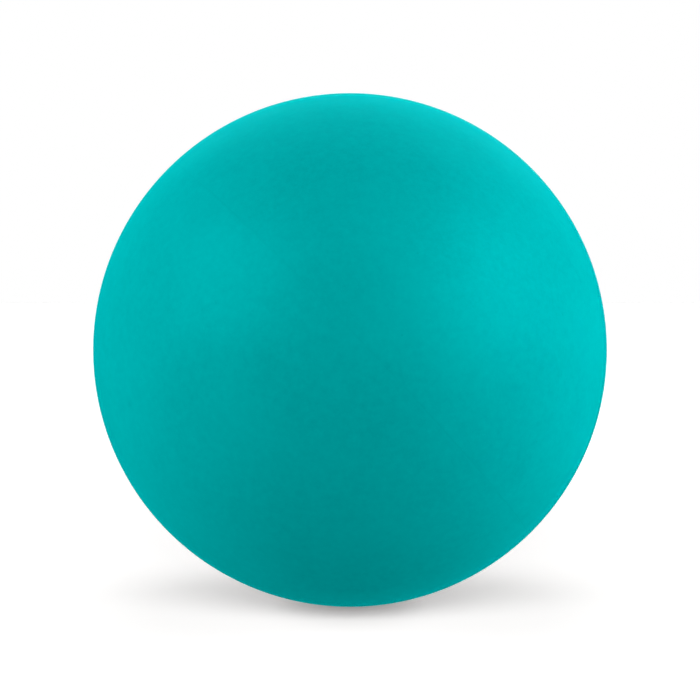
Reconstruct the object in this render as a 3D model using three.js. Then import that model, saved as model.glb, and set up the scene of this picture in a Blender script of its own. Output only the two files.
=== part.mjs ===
// A regulation croquet ball of composite make, 3 5/8 in across: a pressed cork-and-rubber core inside
// two moulded plastic half covers. The covers meet on a plane through the centre, where a spigot on one
// is bonded into a socket in the other.
// Millimetres, +Z up, origin at the centre of the ball, which lies on its lowest point.

import * as THREE from "three";

// Driving dimensions
const BALL_DIAMETER = 92.075; // 3 5/8 in
const COVER_WALL = 7; // thickness of the moulded cover
const BOND_GAP = 0.3; // bond line between any two faces that are glued together
const SPIGOT_WALL = 3.3; // thickness of the ring that enters the other half
const SPIGOT_LENGTH = 4; // how far that ring reaches past the joint plane
const LEAD_IN = 0.5; // chamfer that guides the spigot into its socket

// How the ball lies: the joint plane's normal leans over from upright by SEAM_LEAN, and the lean points
// SEAM_HEADING round from +X towards +Y
const SEAM_LEAN = THREE.MathUtils.degToRad(47.4);
const SEAM_HEADING = THREE.MathUtils.degToRad(10.4);

// Fineness of the faceted surfaces
const SEGMENTS_AROUND = 64;
const OUTER_ARC_STEPS = 16;
const INNER_ARC_STEPS = 12;

// Derived dimensions
const OUTER_RADIUS = BALL_DIAMETER / 2;
const INNER_RADIUS = OUTER_RADIUS - COVER_WALL;
const CORE_RADIUS = INNER_RADIUS - BOND_GAP;
const SPIGOT_RADIUS = INNER_RADIUS + SPIGOT_WALL;
const SOCKET_RADIUS = SPIGOT_RADIUS + BOND_GAP;
const SOCKET_DEPTH = SPIGOT_LENGTH + BOND_GAP;
const RIM_HEIGHT = BOND_GAP / 2; // each rim stands half a bond line off the joint plane
const POLE = Math.PI / 2;

const coverPlastic = new THREE.MeshStandardMaterial({
  color: 0x009c98,
  roughness: 0.45,
  metalness: 0,
});

const coreComposite = new THREE.MeshStandardMaterial({
  color: 0x6e4a2c,
  roughness: 0.95,
  metalness: 0,
});

// Points on a circle about the origin, from one latitude to another.
function arc(radius, fromLatitude, toLatitude, steps) {
  const points = [];
  for (let step = 0; step <= steps; step++) {
    const latitude = THREE.MathUtils.lerp(fromLatitude, toLatitude, step / steps);
    points.push(new THREE.Vector2(radius * Math.cos(latitude), radius * Math.sin(latitude)));
  }
  points.forEach((point) => {
    if (point.x < 1e-9) point.x = 0; // a pole lies exactly on the axis
  });
  return points;
}

// A solid of revolution about +Z from an outline given as (distance from the axis, height).
function revolve(name, outline, material) {
  const geometry = new THREE.LatheGeometry(outline, SEGMENTS_AROUND);
  geometry.rotateX(Math.PI / 2); // the lathe turns about Y
  const mesh = new THREE.Mesh(geometry, material);
  mesh.name = name;
  return mesh;
}

// A half cover with its pole on +Z: down its inner wall to the latitude where the joint begins, across
// the joint from the inside out, then up its outer wall from the rim to the pole.
function halfCover(name, jointLatitude, joint) {
  const outline = [
    ...arc(INNER_RADIUS, POLE, jointLatitude, INNER_ARC_STEPS),
    ...joint,
    ...arc(OUTER_RADIUS, Math.asin(RIM_HEIGHT / OUTER_RADIUS), POLE, OUTER_ARC_STEPS),
  ];
  return revolve(name, outline, coverPlastic.clone());
}

// The half whose spigot ring hangs below the joint plane.
function upperCover() {
  return halfCover("upper_cover", 0, [
    new THREE.Vector2(INNER_RADIUS, -SPIGOT_LENGTH),
    new THREE.Vector2(SPIGOT_RADIUS - LEAD_IN, -SPIGOT_LENGTH),
    new THREE.Vector2(SPIGOT_RADIUS, LEAD_IN - SPIGOT_LENGTH),
    new THREE.Vector2(SPIGOT_RADIUS, RIM_HEIGHT),
  ]);
}

// The half that takes the spigot. It is moulded pole up like the other, then turned over.
function lowerCover() {
  const socketLatitude = Math.asin(SOCKET_DEPTH / INNER_RADIUS);
  const cover = halfCover("lower_cover", socketLatitude, [
    new THREE.Vector2(SOCKET_RADIUS, SOCKET_DEPTH),
    new THREE.Vector2(SOCKET_RADIUS, RIM_HEIGHT),
  ]);
  cover.rotation.x = Math.PI;
  return cover;
}

// The solid ball of pressed cork and rubber that fills the hollow.
function core() {
  return revolve("core", arc(CORE_RADIUS, -POLE, POLE, 2 * INNER_ARC_STEPS), coreComposite);
}

const croquetBall = new THREE.Group();
croquetBall.add(core(), upperCover(), lowerCover());
croquetBall.rotation.set(0, SEAM_LEAN, SEAM_HEADING, "ZYX");

export default croquetBall;
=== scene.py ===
"""The looks of a composite croquet ball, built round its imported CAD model.

The two half covers and the core are rebuilt as fine meshes with the relief of a moulded and lightly
handled ball, and each gets a procedural material. Lengths are in metres.
"""

import math
import random

import bpy
import numpy as np
from mathutils import Matrix, Vector, noise


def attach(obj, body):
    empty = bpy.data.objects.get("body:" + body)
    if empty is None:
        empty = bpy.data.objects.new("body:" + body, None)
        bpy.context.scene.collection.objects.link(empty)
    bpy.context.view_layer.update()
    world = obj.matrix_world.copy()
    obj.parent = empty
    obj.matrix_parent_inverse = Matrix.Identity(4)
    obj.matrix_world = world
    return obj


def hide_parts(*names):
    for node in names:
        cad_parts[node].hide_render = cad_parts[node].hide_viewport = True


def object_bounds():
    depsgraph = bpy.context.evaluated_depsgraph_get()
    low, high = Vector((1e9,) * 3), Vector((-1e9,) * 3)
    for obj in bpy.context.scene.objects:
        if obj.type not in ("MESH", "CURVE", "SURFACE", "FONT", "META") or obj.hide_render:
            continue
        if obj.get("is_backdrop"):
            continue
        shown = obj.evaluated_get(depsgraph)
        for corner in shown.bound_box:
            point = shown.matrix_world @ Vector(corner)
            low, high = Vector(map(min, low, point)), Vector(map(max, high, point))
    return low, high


MM = 0.001

# The spigot joint between the half covers, as the CAD model has it
BOND_GAP = 0.3 * MM
SPIGOT_WALL = 3.3 * MM
SPIGOT_LENGTH = 4.0 * MM
LEAD_IN = 0.5 * MM

# The joint line that shows: a shallow groove, with the halves a hair's breadth apart at its bottom
SEAM_HALF_WIDTH = 0.16 * MM
SEAM_DEPTH = 0.004 * MM
SEAM_OPENING = 0.004 * MM

# Fineness of the meshes
SEAM_SEGMENTS = 576
GROOVE_ROWS = 6
ROW_STEP = 0.55 * MM
ROW_GROWTH = 1.5
SHORTEST_EDGE = 0.3 * MM
INNER_SEGMENTS = 144
INNER_ROWS = 32
CORE_SEGMENTS = 288
CORE_ROWS = 160

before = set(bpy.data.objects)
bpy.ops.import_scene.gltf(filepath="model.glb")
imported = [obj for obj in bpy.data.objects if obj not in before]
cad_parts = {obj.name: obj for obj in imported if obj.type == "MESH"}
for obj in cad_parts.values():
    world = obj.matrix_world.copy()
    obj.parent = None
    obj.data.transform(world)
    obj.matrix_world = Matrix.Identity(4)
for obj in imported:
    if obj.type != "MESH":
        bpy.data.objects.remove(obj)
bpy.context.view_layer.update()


def farthest_corner(node):
    """The distance from the row frame's origin to the farthest corner of a CAD node."""
    return max(v.co.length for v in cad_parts[node].data.vertices)


def surface_centre(node):
    """The mean of a CAD node's surface, which lies on its axis of revolution."""
    total, area = Vector((0, 0, 0)), 0.0
    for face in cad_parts[node].data.polygons:
        total += face.center * face.area
        area += face.area
    return total / area


# The row frame's origin is the centre of the ball, so a corner's distance from it is a radius.
OUTER_RADIUS = farthest_corner("upper_cover")
CORE_RADIUS = farthest_corner("core")
INNER_RADIUS = CORE_RADIUS + BOND_GAP
SPIGOT_RADIUS = INNER_RADIUS + SPIGOT_WALL
SOCKET_RADIUS = SPIGOT_RADIUS + BOND_GAP
SOCKET_DEPTH = SPIGOT_LENGTH + BOND_GAP
SEAM_NORMAL = (surface_centre("upper_cover") - surface_centre("lower_cover")).normalized()
POLE_UP = Vector((0, 0, 1)).rotation_difference(SEAM_NORMAL).to_matrix()
POLE_DOWN = POLE_UP @ Matrix.Rotation(math.pi, 3, "X")
POLE = math.pi / 2


# ---------------------------------------------------------------- meshes of revolution


def ring_count(radius, most):
    """How many corners a ring gets: the most there may be, halved while its edges are too short."""
    count = most
    while count % 2 == 0 and count > 9 and 2 * math.pi * radius / count < SHORTEST_EDGE:
        count //= 2
    return count


def arc_rows(radius, start, end, rows, most):
    """Rows (distance from the axis, height, corners) along a circle about the centre."""
    made = []
    for i in range(rows + 1):
        latitude = start + (end - start) * i / rows
        across = radius * math.cos(latitude)
        if across < 1e-9:
            made.append((0.0, radius * math.sin(latitude), 1))
        else:
            made.append((across, radius * math.sin(latitude), ring_count(across, most)))
    return made


def smoothed(rows):
    """The same rows, with corner counts that at most halve or double from one to the next."""
    rows = [list(row) for row in rows]
    for order in (range(1, len(rows)), range(len(rows) - 2, -1, -1)):
        for i in order:
            behind = rows[i - 1] if order.step > 0 else rows[i + 1]
            if rows[i][2] > 1 and behind[2] > 1:
                rows[i][2] = max(rows[i][2], behind[2] // 2)
    return rows


def stitch(a, b):
    """Faces between two rings of corner numbers: equal counts, one twice the other, or one a pole."""
    n, m = len(a), len(b)
    if n == 1:
        return [(a[0], b[(j + 1) % m], b[j]) for j in range(m)]
    if m == 1:
        return [(a[i], a[(i + 1) % n], b[0]) for i in range(n)]
    if n == m:
        return [(a[i], a[(i + 1) % n], b[(i + 1) % n], b[i]) for i in range(n)]
    faces = []
    if n == 2 * m:
        for j in range(m):
            k = (j + 1) % m
            first, middle, last = a[2 * j], a[2 * j + 1], a[(2 * j + 2) % n]
            faces += [(first, middle, b[j]), (middle, b[k], b[j]), (middle, last, b[k])]
        return faces
    if m == 2 * n:
        for i in range(n):
            k = (i + 1) % n
            first, middle, last = b[2 * i], b[2 * i + 1], b[(2 * i + 2) % m]
            faces += [(a[i], middle, first), (a[i], a[k], middle), (a[k], last, middle)]
        return faces
    raise ValueError(f"rings of {n} and {m} corners can't be stitched")


def revolve(name, rows, turn, relief):
    """A closed mesh of revolution from rows (distance from the axis, height, corners), turned into the row
    frame. relief(directions, distances) gives how far each corner moves outwards from the centre, and how
    much its colour is darkened, from 0 to 1."""
    corners, rings = [], []
    for across, height, count in rows:
        start = len(corners)
        for i in range(count):
            angle = 2 * math.pi * i / count
            corners.append((across * math.cos(angle), across * math.sin(angle), height))
        rings.append(range(start, len(corners)))
    faces = [face for a, b in zip(rings, rings[1:]) for face in stitch(a, b)]
    points = np.array(corners) @ np.array(turn).T
    distances = np.linalg.norm(points, axis=1)
    directions = points / distances[:, None]
    moved, dent_darkening = relief(directions, distances)
    points = points + directions * moved[:, None]
    mesh = bpy.data.meshes.new(name)
    mesh.from_pydata(points.tolist(), [], faces)
    mesh.attributes.new("dent_darkening", "FLOAT", "POINT").data.foreach_set("value", dent_darkening)
    mesh.polygons.foreach_set("use_smooth", [True] * len(mesh.polygons))
    piece = bpy.data.objects.new(name, mesh)
    bpy.context.scene.collection.objects.link(piece)
    return piece


# ---------------------------------------------------------------- relief of the outer surface


def pointing(azimuth, elevation):
    """Unit vector from the ball: azimuth 0 is towards the camera (-Y), 90 is to its right (+X)."""
    a, e = math.radians(azimuth), math.radians(elevation)
    return Vector((math.sin(a) * math.cos(e), -math.cos(a) * math.cos(e), math.sin(e)))


# Marks of handling that can be made out: where each is, its turn from level in degrees, then its
# length, width and depth in millimetres
SEEN_MARKS = (
    (7.9, 3.6, 60, 1.2, 0.9, 0.015),
    (24, 10.7, 5, 4.5, 0.9, 0.007),
    (-22, 17, 0, 2.8, 0.9, 0.006),
    (-56.6, -8, 30, 1.1, 1.0, 0.022),
    (66, 19.4, -62, 4.8, 0.9, 0.012),
)
SCATTERED_MARKS = 110
MARKS_SEED = 7
# The dent depth at which a mark's colour is darkened the most; shallower dents are darkened less
DENT_DEPTH_FOR_FULL_DARKENING = 0.03 * MM

# The moulding swell and a finer ripple on it, and the granules of the core: size, height and seed
SWELL = (14 * MM, 0.010 * MM, 3.1)
RIPPLE = (3 * MM, 0.0012 * MM, 7.7)
GRANULES = (2.2 * MM, 0.08 * MM, 5.3)


def handling_marks():
    """The marks above, then small knocks and rubs scattered at random over the ball."""
    marks = list(SEEN_MARKS)
    chance = random.Random(MARKS_SEED)
    for _ in range(SCATTERED_MARKS):
        azimuth = chance.uniform(-180, 180)
        elevation = math.degrees(math.asin(chance.uniform(-1, 1)))
        turn = chance.uniform(0, 180)
        width = chance.uniform(0.9, 1.5)
        length = width * chance.choice((1.0, 1.3, 2.0, 4.0))
        depth = chance.uniform(0.002, 0.008)
        marks.append((azimuth, elevation, turn, length, width, depth))
    return marks


def undulation(directions, size, height, seed):
    """A soft random swell over the ball, with bumps about size across and height high."""
    shift = Vector((seed, 2 * seed, 3 * seed))
    scale = OUTER_RADIUS / size
    return np.array([height * noise.noise(Vector(d) * scale + shift) for d in directions])


def dent(directions, azimuth, elevation, turn, length, width, depth):
    """One shallow oval dent with soft edges."""
    centre = pointing(azimuth, elevation)
    level = Vector((0, 0, 1)).cross(centre).normalized()
    along = Matrix.Rotation(math.radians(turn), 3, centre) @ level
    across = centre.cross(along)
    u = directions @ np.array(along) * OUTER_RADIUS / (length * MM / 2)
    v = directions @ np.array(across) * OUTER_RADIUS / (width * MM / 2)
    facing = directions @ np.array(centre) > 0
    return np.where(facing, depth * MM * np.exp(-(u**2) - v**2), 0.0)


def outer_relief(directions, distances):
    """Moulding swell and handling marks, on the outer wall only, and how much each dent darkens the
    colour.
    """
    swell = undulation(directions, *SWELL)
    swell += undulation(directions, *RIPPLE)
    dents = sum(dent(directions, *mark) for mark in handling_marks())
    outside = distances > OUTER_RADIUS - 0.1 * MM
    moved = np.where(outside, swell - dents, 0.0)
    # The colour is darkened in each dent, more the deeper the dent is.
    dent_darkening = np.where(outside, np.minimum(dents / DENT_DEPTH_FOR_FULL_DARKENING, 1.0), 0.0)
    return moved, dent_darkening


# ---------------------------------------------------------------- the pieces


def outer_wall_rows():
    """The outer wall from the joint line to the pole: close rows across the groove, then even ones."""
    quarter = OUTER_RADIUS * POLE
    near = [SEAM_HALF_WIDTH * i / GROOVE_ROWS for i in range(GROOVE_ROWS + 1)]
    step = SEAM_HALF_WIDTH / GROOVE_ROWS
    while step * ROW_GROWTH < ROW_STEP:
        step *= ROW_GROWTH
        near.append(near[-1] + step)
    rest = round((quarter - near[-1]) / ROW_STEP)
    along = near + [near[-1] + (quarter - near[-1]) * i / rest for i in range(1, rest + 1)]
    rows = []
    for s in along:
        latitude = s / OUTER_RADIUS
        radius = OUTER_RADIUS
        if s < SEAM_HALF_WIDTH:
            radius -= SEAM_DEPTH * (1 + math.cos(math.pi * s / SEAM_HALF_WIDTH)) / 2
        across = radius * math.cos(latitude)
        height = max(radius * math.sin(latitude), SEAM_OPENING / 2)
        rows.append((across, height, ring_count(across, SEAM_SEGMENTS)))
    rows[-1] = (0.0, OUTER_RADIUS, 1)
    return rows


def half_cover(name, joint_latitude, joint, turn):
    """Down the inner wall, across the joint and its rim, and up the outer wall to the pole."""
    rim_start = joint[-1][0]
    rim_width = OUTER_RADIUS - SEAM_DEPTH - rim_start
    rim = []
    # The corners double twice on the way out, to meet the outer wall's count.
    for share, times in ((0.0, 1), (0.35, 2), (0.7, 4)):
        across = rim_start + rim_width * share
        rim.append((across, SEAM_OPENING / 2, INNER_SEGMENTS * times))
    inner = arc_rows(INNER_RADIUS, POLE, joint_latitude, INNER_ROWS, INNER_SEGMENTS)
    rows = inner + [(r, z, INNER_SEGMENTS) for r, z in joint] + rim + outer_wall_rows()
    return revolve(name, smoothed(rows), turn, outer_relief)


def upper_shell():
    """The upper cover, whose joint is a spigot that reaches down into the lower cover."""
    joint = [
        (INNER_RADIUS, -SPIGOT_LENGTH),
        (SPIGOT_RADIUS - LEAD_IN, -SPIGOT_LENGTH),
        (SPIGOT_RADIUS, LEAD_IN - SPIGOT_LENGTH),
    ]
    return half_cover("upper_cover_shell", 0.0, joint, POLE_UP)


def lower_shell():
    """The lower cover, whose joint is the socket that takes the spigot."""
    latitude = math.asin(SOCKET_DEPTH / INNER_RADIUS)
    joint = [(SOCKET_RADIUS, SOCKET_DEPTH)]
    return half_cover("lower_cover_shell", latitude, joint, POLE_DOWN)


def granules(directions, distances):
    """The grainy face of pressed cork and rubber."""
    height = GRANULES[1]
    moved = undulation(directions, *GRANULES) - height
    return moved, np.zeros(len(moved))


def core_ball():
    """The pressed core, a ball with a grainy face."""
    rows = arc_rows(CORE_RADIUS, -POLE, POLE, CORE_ROWS, CORE_SEGMENTS)
    return revolve("core_ball", smoothed(rows), POLE_UP, granules)


# ---------------------------------------------------------------- materials


class Surface:
    """A Principled material and short ways to build its node tree."""

    def __init__(self, name, roughness, ior):
        self.material = bpy.data.materials.new(name)
        self.material.use_nodes = True
        self.nodes = self.material.node_tree.nodes
        self.links = self.material.node_tree.links
        self.shader = self.nodes["Principled BSDF"]
        self.shader.inputs["Roughness"].default_value = roughness
        self.shader.inputs["IOR"].default_value = ior
        self.place = self.nodes.new("ShaderNodeTexCoord").outputs["Object"]

    def attribute(self, name):
        """A number stored on the mesh's corners."""
        node = self.nodes.new("ShaderNodeAttribute")
        node.attribute_name = name
        return node.outputs["Fac"]

    def grain(self, size, detail=2.0, roughness=0.5, stretch=None, turn=(0, 0, 0)):
        """Noise from 0 to 1 with features about size across, longer along X by the stretch."""
        place = self.place
        if stretch is not None:
            mapping = self.nodes.new("ShaderNodeMapping")
            mapping.vector_type = "TEXTURE"
            mapping.inputs["Rotation"].default_value = [math.radians(t) for t in turn]
            mapping.inputs["Scale"].default_value = (stretch, 1, 1)
            self.links.new(place, mapping.inputs["Vector"])
            place = mapping.outputs["Vector"]
        texture = self.nodes.new("ShaderNodeTexNoise")
        texture.inputs["Scale"].default_value = 1 / size
        texture.inputs["Detail"].default_value = detail
        texture.inputs["Roughness"].default_value = roughness
        self.links.new(place, texture.inputs["Vector"])
        return texture.outputs["Fac"]

    def cells(self, size, output):
        """Voronoi cells about size across: their Distance from the middle, or one Color each."""
        texture = self.nodes.new("ShaderNodeTexVoronoi")
        texture.inputs["Scale"].default_value = 1 / size
        self.links.new(self.place, texture.inputs["Vector"])
        return texture.outputs[output]

    def spread(self, value, low, high, to_low, to_high):
        """The value, from low..high onto to_low..to_high and no further."""
        ranged = self.nodes.new("ShaderNodeMapRange")
        for socket, number in (("From Min", low), ("From Max", high)):
            ranged.inputs[socket].default_value = number
        for socket, number in (("To Min", to_low), ("To Max", to_high)):
            ranged.inputs[socket].default_value = number
        self.links.new(value, ranged.inputs["Value"])
        return ranged.outputs["Result"]

    def maths(self, operation, *values):
        """A Math node; each value is a number or another node's output."""
        node = self.nodes.new("ShaderNodeMath")
        node.operation = operation
        for socket, value in zip(node.inputs, values):
            if isinstance(value, (int, float)):
                socket.default_value = value
            else:
                self.links.new(value, socket)
        return node.outputs["Value"]

    def mix(self, factor, first, second):
        """From the first colour to the second by the factor; each is a tuple or an output."""
        node = self.nodes.new("ShaderNodeMix")
        node.data_type = "RGBA"
        self.links.new(factor, node.inputs["Factor"])
        for socket, colour in ((node.inputs[6], first), (node.inputs[7], second)):
            if isinstance(colour, tuple):
                socket.default_value = (*colour, 1)
            else:
                self.links.new(colour, socket)
        return node.outputs[2]

    def bump(self, *heights):
        """Each height runs from 0 to 1 and stands for the given rise in metres."""
        normal = None
        for height, rise in heights:
            node = self.nodes.new("ShaderNodeBump")
            node.inputs["Distance"].default_value = rise
            self.links.new(height, node.inputs["Height"])
            if normal is not None:
                self.links.new(normal, node.inputs["Normal"])
            normal = node.outputs["Normal"]
        self.links.new(normal, self.shader.inputs["Normal"])

    def colour(self, output):
        """Gives the shader its colour."""
        self.links.new(output, self.shader.inputs["Base Color"])

    def roughness(self, output):
        """Gives the shader its roughness."""
        self.links.new(output, self.shader.inputs["Roughness"])


# The covers' colours: two that cloud into each other, the paler pigment grain, then the details
TEAL = (0.0, 0.243, 0.246)
TEAL_PALE = (0.0, 0.280, 0.284)
TEAL_DEEP = (0.0, 0.215, 0.219)
TEAL_SPECK = (0.0, 0.228, 0.232)
TEAL_JOINT = (0.0, 0.248, 0.251)
# The darker colour laid into the dents, more of it the deeper they are
TEAL_DENT_DARKENING = (0.0, 0.195, 0.200)
# Gloss and sheen of the plastic hold no red.
REDLESS = (0.0, 1.0, 1.0)

PLASTIC_ROUGHNESS = 0.42
PLASTIC_IOR = 1.5
SHEEN_WEIGHT = 0.15
SHEEN_ROUGHNESS = 0.4

# Sizes of the covers' textures, and how high they stand
CLOUD_SIZE = 16 * MM
PIGMENT_SIZE = 1.3 * MM
RUBBED_SIZE = 7 * MM
FINE_SIZE = 0.42 * MM
FINE_HEIGHT = 0.007 * MM
PEEL_SIZE = 2.2 * MM
PEEL_HEIGHT = 0.011 * MM
SCRATCH_DEPTH = 0.003 * MM
SCRATCH_ROUGHENING = 0.12
SPECK_SPACING = 6 * MM
JOINT_LINE_INNER = 0.08 * MM
JOINT_LINE_OUTER = 0.22 * MM


def joint_line(surface):
    """1 on the joint line between the half covers, falling to 0 beside it."""
    along = surface.nodes.new("ShaderNodeVectorMath")
    along.operation = "DOT_PRODUCT"
    along.inputs[1].default_value = SEAM_NORMAL
    surface.links.new(surface.place, along.inputs[0])
    distance = surface.maths("ABSOLUTE", along.outputs["Value"])
    return surface.spread(distance, JOINT_LINE_INNER, JOINT_LINE_OUTER, 1, 0)


def cover_material():
    """Satin teal plastic: clouded colour, pigment grain, rare specks, orange peel and faint scratches."""
    surface = Surface("satin_teal_plastic", PLASTIC_ROUGHNESS, PLASTIC_IOR)
    shader = surface.shader
    shader.inputs["Specular Tint"].default_value = (*REDLESS, 1)
    shader.inputs["Sheen Weight"].default_value = SHEEN_WEIGHT
    shader.inputs["Sheen Roughness"].default_value = SHEEN_ROUGHNESS
    shader.inputs["Sheen Tint"].default_value = (*REDLESS, 1)

    clouds = surface.grain(CLOUD_SIZE, detail=3)
    pigment = surface.grain(PIGMENT_SIZE, detail=4, roughness=0.8)
    rubbed = surface.grain(RUBBED_SIZE, detail=4)
    fine = surface.grain(FINE_SIZE, detail=2, roughness=0.6)
    peel = surface.grain(PEEL_SIZE, detail=2)
    specks = surface.cells(SPECK_SPACING, "Distance")

    colour = surface.mix(surface.spread(clouds, 0.3, 0.7, 0, 1), TEAL_DEEP, TEAL)
    colour = surface.mix(surface.spread(pigment, 0.25, 0.8, 0, 1), colour, TEAL_PALE)
    colour = surface.mix(surface.spread(specks, 0.025, 0.035, 1, 0), colour, TEAL_SPECK)
    colour = surface.mix(joint_line(surface), colour, TEAL_JOINT)
    # Darker colour in the dents, more the deeper they are
    colour = surface.mix(surface.attribute("dent_darkening"), colour, TEAL_DENT_DARKENING)
    surface.colour(colour)

    # Two sets of fine scratches, in different directions, that show only where the ball is rubbed
    scratches = surface.maths(
        "MAXIMUM",
        surface.spread(surface.grain(0.35 * MM, stretch=40, turn=(0, 20, 35)), 0.70, 0.76, 0, 1),
        surface.spread(surface.grain(0.30 * MM, stretch=30, turn=(50, -40, 80)), 0.71, 0.77, 0, 1),
    )
    scuffed = surface.maths("MULTIPLY", scratches, surface.spread(rubbed, 0.45, 0.62, 0, 1))
    dull = surface.spread(rubbed, 0.3, 0.7, 0.40, 0.45)
    surface.roughness(surface.maths("ADD", dull, surface.maths("MULTIPLY", scuffed, SCRATCH_ROUGHENING)))

    surface.bump((peel, PEEL_HEIGHT), (fine, FINE_HEIGHT), (scuffed, -SCRATCH_DEPTH))
    return surface.material


CORK_TAN = (0.33, 0.18, 0.085)
CORK_BROWN = (0.13, 0.06, 0.025)
RUBBER_BLACK = (0.022, 0.02, 0.018)
GRANULE_SIZE = 2.4 * MM
GRANULE_HEIGHT = 0.12 * MM
SHADE_SIZE = 0.8 * MM
SHADE_HEIGHT = 0.06 * MM


def core_material():
    """Pressed granules of cork bound with dark rubber."""
    surface = Surface("cork_and_rubber", 0.9, 1.5)
    granule = surface.cells(GRANULE_SIZE, "Color")
    inside = surface.cells(GRANULE_SIZE, "Distance")
    shade = surface.grain(SHADE_SIZE, detail=4, roughness=0.65)
    cork = surface.mix(surface.spread(shade, 0.3, 0.7, 0, 1), CORK_BROWN, CORK_TAN)
    pick = surface.spread(granule, 0.32, 0.40, 1, 0)
    mixed = surface.mix(pick, cork, RUBBER_BLACK)
    surface.colour(surface.mix(surface.spread(inside, 0.55, 0.75, 0, 1), mixed, RUBBER_BLACK))
    surface.roughness(surface.spread(shade, 0.3, 0.7, 0.82, 0.95))
    surface.bump((inside, -GRANULE_HEIGHT), (shade, SHADE_HEIGHT))
    return surface.material


# ---------------------------------------------------------------- studio

WHITE = (1.0, 1.0, 1.0)
# The boxes that give the gloss have the plastic's own hue; the rear one adds a trace of red at the rim.
TEAL_LIGHT = (0.0, 1.0, 1.0)
PALE_TEAL_LIGHT = (0.15, 1.0, 1.0)

# How far the lamps stand from the centre of the ball
TENT_HALF_SIDE = 1.0
BOX_DISTANCE = 0.7
FLOOR_LAMP_DISTANCE = 1.0

# The six walls of a white tent round the ball: azimuth, elevation and power
TENT_WALLS = {
    "tent_front": (0, 0, 10.5),
    "tent_right": (90, 0, 12.5),
    "tent_back": (180, 0, 11.5),
    "tent_left": (-90, 0, 15),
    "tent_top": (0, 90, 12),
    "tent_bottom": (0, -90, 7),
}

# Boxes for the plastic's own colour: azimuth, elevation, side and power
COLOUR_BOXES = {
    "left_front": (-62, 27, 0.6, 1.5),
    "right_front": (66, 25, 0.65, 2.7),
    "left_side": (-92, 2, 1.1, 5.2),
    "right_side": (97, 2, 0.8, 6.4),
    "left_rear": (-130, 20, 0.4, 1.5),
    "right_rear": (130, 20, 0.4, 1.5),
    "rear": (183, 30, 0.45, 5),
}

# Boxes for its gloss: azimuth, elevation, side, power and colour
GLOSS_BOXES = {
    "gloss_left": (-60, 30, 0.55, 2.5, TEAL_LIGHT),
    "gloss_right": (65, 26, 0.6, 3.2, TEAL_LIGHT),
    "gloss_rear": (175, 42, 0.8, 0.6, PALE_TEAL_LIGHT),
}

# Lamps that light only the floor: azimuth, elevation, width, height and power
FLOOR_LAMPS = {
    "floor_front": (0, 25, 1.5, 0.5, 15),
    "floor_left": (-110, 8, 0.8, 0.8, 13),
    "floor_right": (110, 8, 0.8, 0.8, 13),
    "floor_top": (180, 75, 0.6, 0.6, 1.5),
}


def soft_box(name, azimuth, elevation, distance, width, height, power, lights):
    """A white area lamp, aimed at the ball, that lights one collection and shows only in its plain
    colour: neither the camera nor the gloss sees it."""
    lamp = bpy.data.lights.new(name, "AREA")
    lamp.shape = "RECTANGLE"
    lamp.size = width
    lamp.size_y = height
    lamp.energy = power
    lamp.color = WHITE
    # Without multiple importance sampling a lamp that gives no gloss gives none at all.
    lamp.cycles.use_multiple_importance_sampling = False
    box = bpy.data.objects.new(name, lamp)
    direction = pointing(azimuth, elevation)
    box.location = direction * distance
    box.rotation_euler = direction.to_track_quat("Z", "Y").to_euler()
    box.visible_camera = False
    box.visible_glossy = False
    box.light_linking.receiver_collection = lights
    bpy.context.scene.collection.objects.link(box)
    return box


def only(name, *members):
    """A collection that lamps can be limited to; it isn't linked to the scene."""
    collection = bpy.data.collections.new(name)
    for member in members:
        collection.objects.link(member)
    return collection


def studio_lights(pieces, plane):
    """The tent, the boxes for the plastic's colour and for its gloss, then the floor's own lamps."""
    ball = only("lit_ball", *pieces)
    tent_side = 2 * TENT_HALF_SIDE
    for name, (azimuth, elevation, power) in TENT_WALLS.items():
        soft_box(name, azimuth, elevation, TENT_HALF_SIDE, tent_side, tent_side, power, ball)
    for name, (azimuth, elevation, side, power) in COLOUR_BOXES.items():
        soft_box(name, azimuth, elevation, BOX_DISTANCE, side, side, power, ball)
    for name, (azimuth, elevation, side, power, colour) in GLOSS_BOXES.items():
        box = soft_box(name, azimuth, elevation, BOX_DISTANCE, side, side, power, ball)
        box.data.color = colour
        box.visible_diffuse = False
        box.visible_glossy = True
    ground = only("lit_floor", plane)
    for name, (azimuth, elevation, width, height, power) in FLOOR_LAMPS.items():
        soft_box(name, azimuth, elevation, FLOOR_LAMP_DISTANCE, width, height, power, ground)


def surroundings():
    """Plain white behind the ball, which lights nothing."""
    world = bpy.data.worlds.new("white_surroundings")
    bpy.context.scene.world = world
    world.use_nodes = True
    back = world.node_tree.nodes["Background"]
    back.inputs["Color"].default_value = (1, 1, 1, 1)
    back.inputs["Strength"].default_value = 1.0
    world.cycles_visibility.diffuse = False
    world.cycles_visibility.glossy = False


FLOOR_HALF_SIDE = 0.5
FLOOR_WHITE = (0.9, 0.895, 0.89)
GLOW_WHITE = (1.0, 0.99, 0.985)
FLOOR_GLOW = 0.315


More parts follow.
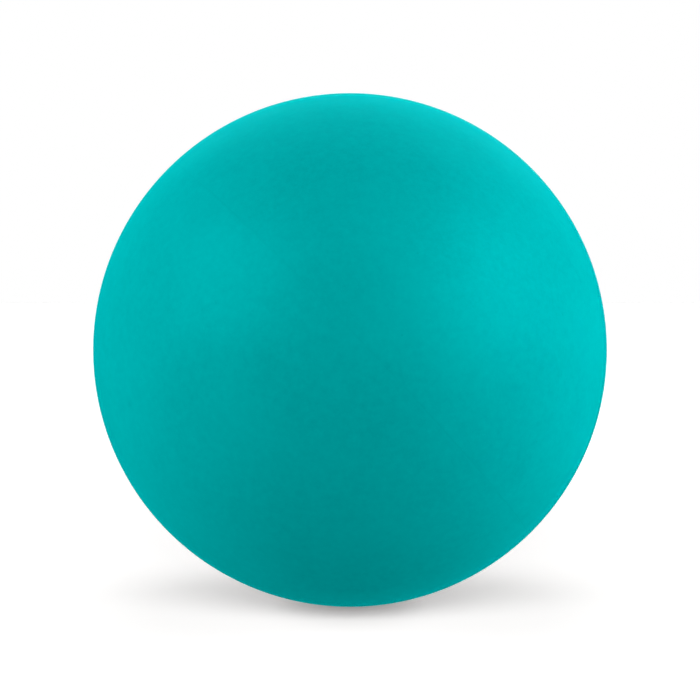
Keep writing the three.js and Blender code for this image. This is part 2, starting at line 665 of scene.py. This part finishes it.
def floor(height):
    """A white sweep under the ball, bright enough to merge with the white behind it."""
    mesh = bpy.data.meshes.new("floor")
    side = FLOOR_HALF_SIDE
    corners = [(-side, -side, height), (side, -side, height), (side, side, height), (-side, side, height)]
    mesh.from_pydata(corners, [], [(0, 1, 2, 3)])
    plane = bpy.data.objects.new("floor", mesh)
    bpy.context.scene.collection.objects.link(plane)
    plane.visible_diffuse = False
    plane.visible_glossy = False
    plane.visible_shadow = False
    white = Surface("white_floor", 1.0, 1.5)
    white.shader.inputs["Base Color"].default_value = (*FLOOR_WHITE, 1)
    white.shader.inputs["Specular IOR Level"].default_value = 0.0
    white.shader.inputs["Emission Color"].default_value = (*GLOW_WHITE, 1)
    white.shader.inputs["Emission Strength"].default_value = FLOOR_GLOW
    mesh.materials.append(white.material)
    plane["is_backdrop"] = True
    return plane


CAMERA_ELEVATION = 7
LENS = 180
BALL_SHARE_OF_FRAME = 0.734


def camera():
    """The camera, in front of the ball and a little above it, looking at its centre."""
    data = bpy.data.cameras.new("camera")
    data.lens = LENS
    data.clip_start = 0.01
    data.clip_end = 20
    half_frame = data.sensor_width / 2 / data.lens
    distance = OUTER_RADIUS / math.sin(math.atan(BALL_SHARE_OF_FRAME * half_frame))
    view = bpy.data.objects.new("camera", data)
    back = pointing(0, CAMERA_ELEVATION)
    view.location = back * distance
    view.rotation_euler = back.to_track_quat("Z", "Y").to_euler()
    bpy.context.scene.collection.objects.link(view)
    bpy.context.scene.camera = view


upper = upper_shell()
lower = lower_shell()
core = core_ball()
cover_plastic = cover_material()
core_composite = core_material()
for piece, node, slot, material in (
    (upper, "upper_cover", "cover_plastic", cover_plastic),
    (lower, "lower_cover", "cover_plastic", cover_plastic),
    (core, "core", "core_composite", core_composite),
):
    piece.data.materials.append(material)
    # No teal light reaches the floor, whose shadow is neutral.
    piece.visible_diffuse = False
    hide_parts(node)
    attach(piece, "root")

studio_lights((upper, lower, core), floor(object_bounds()[0].z))
surroundings()
camera()
bpy.context.scene.view_settings.view_transform = "Standard"
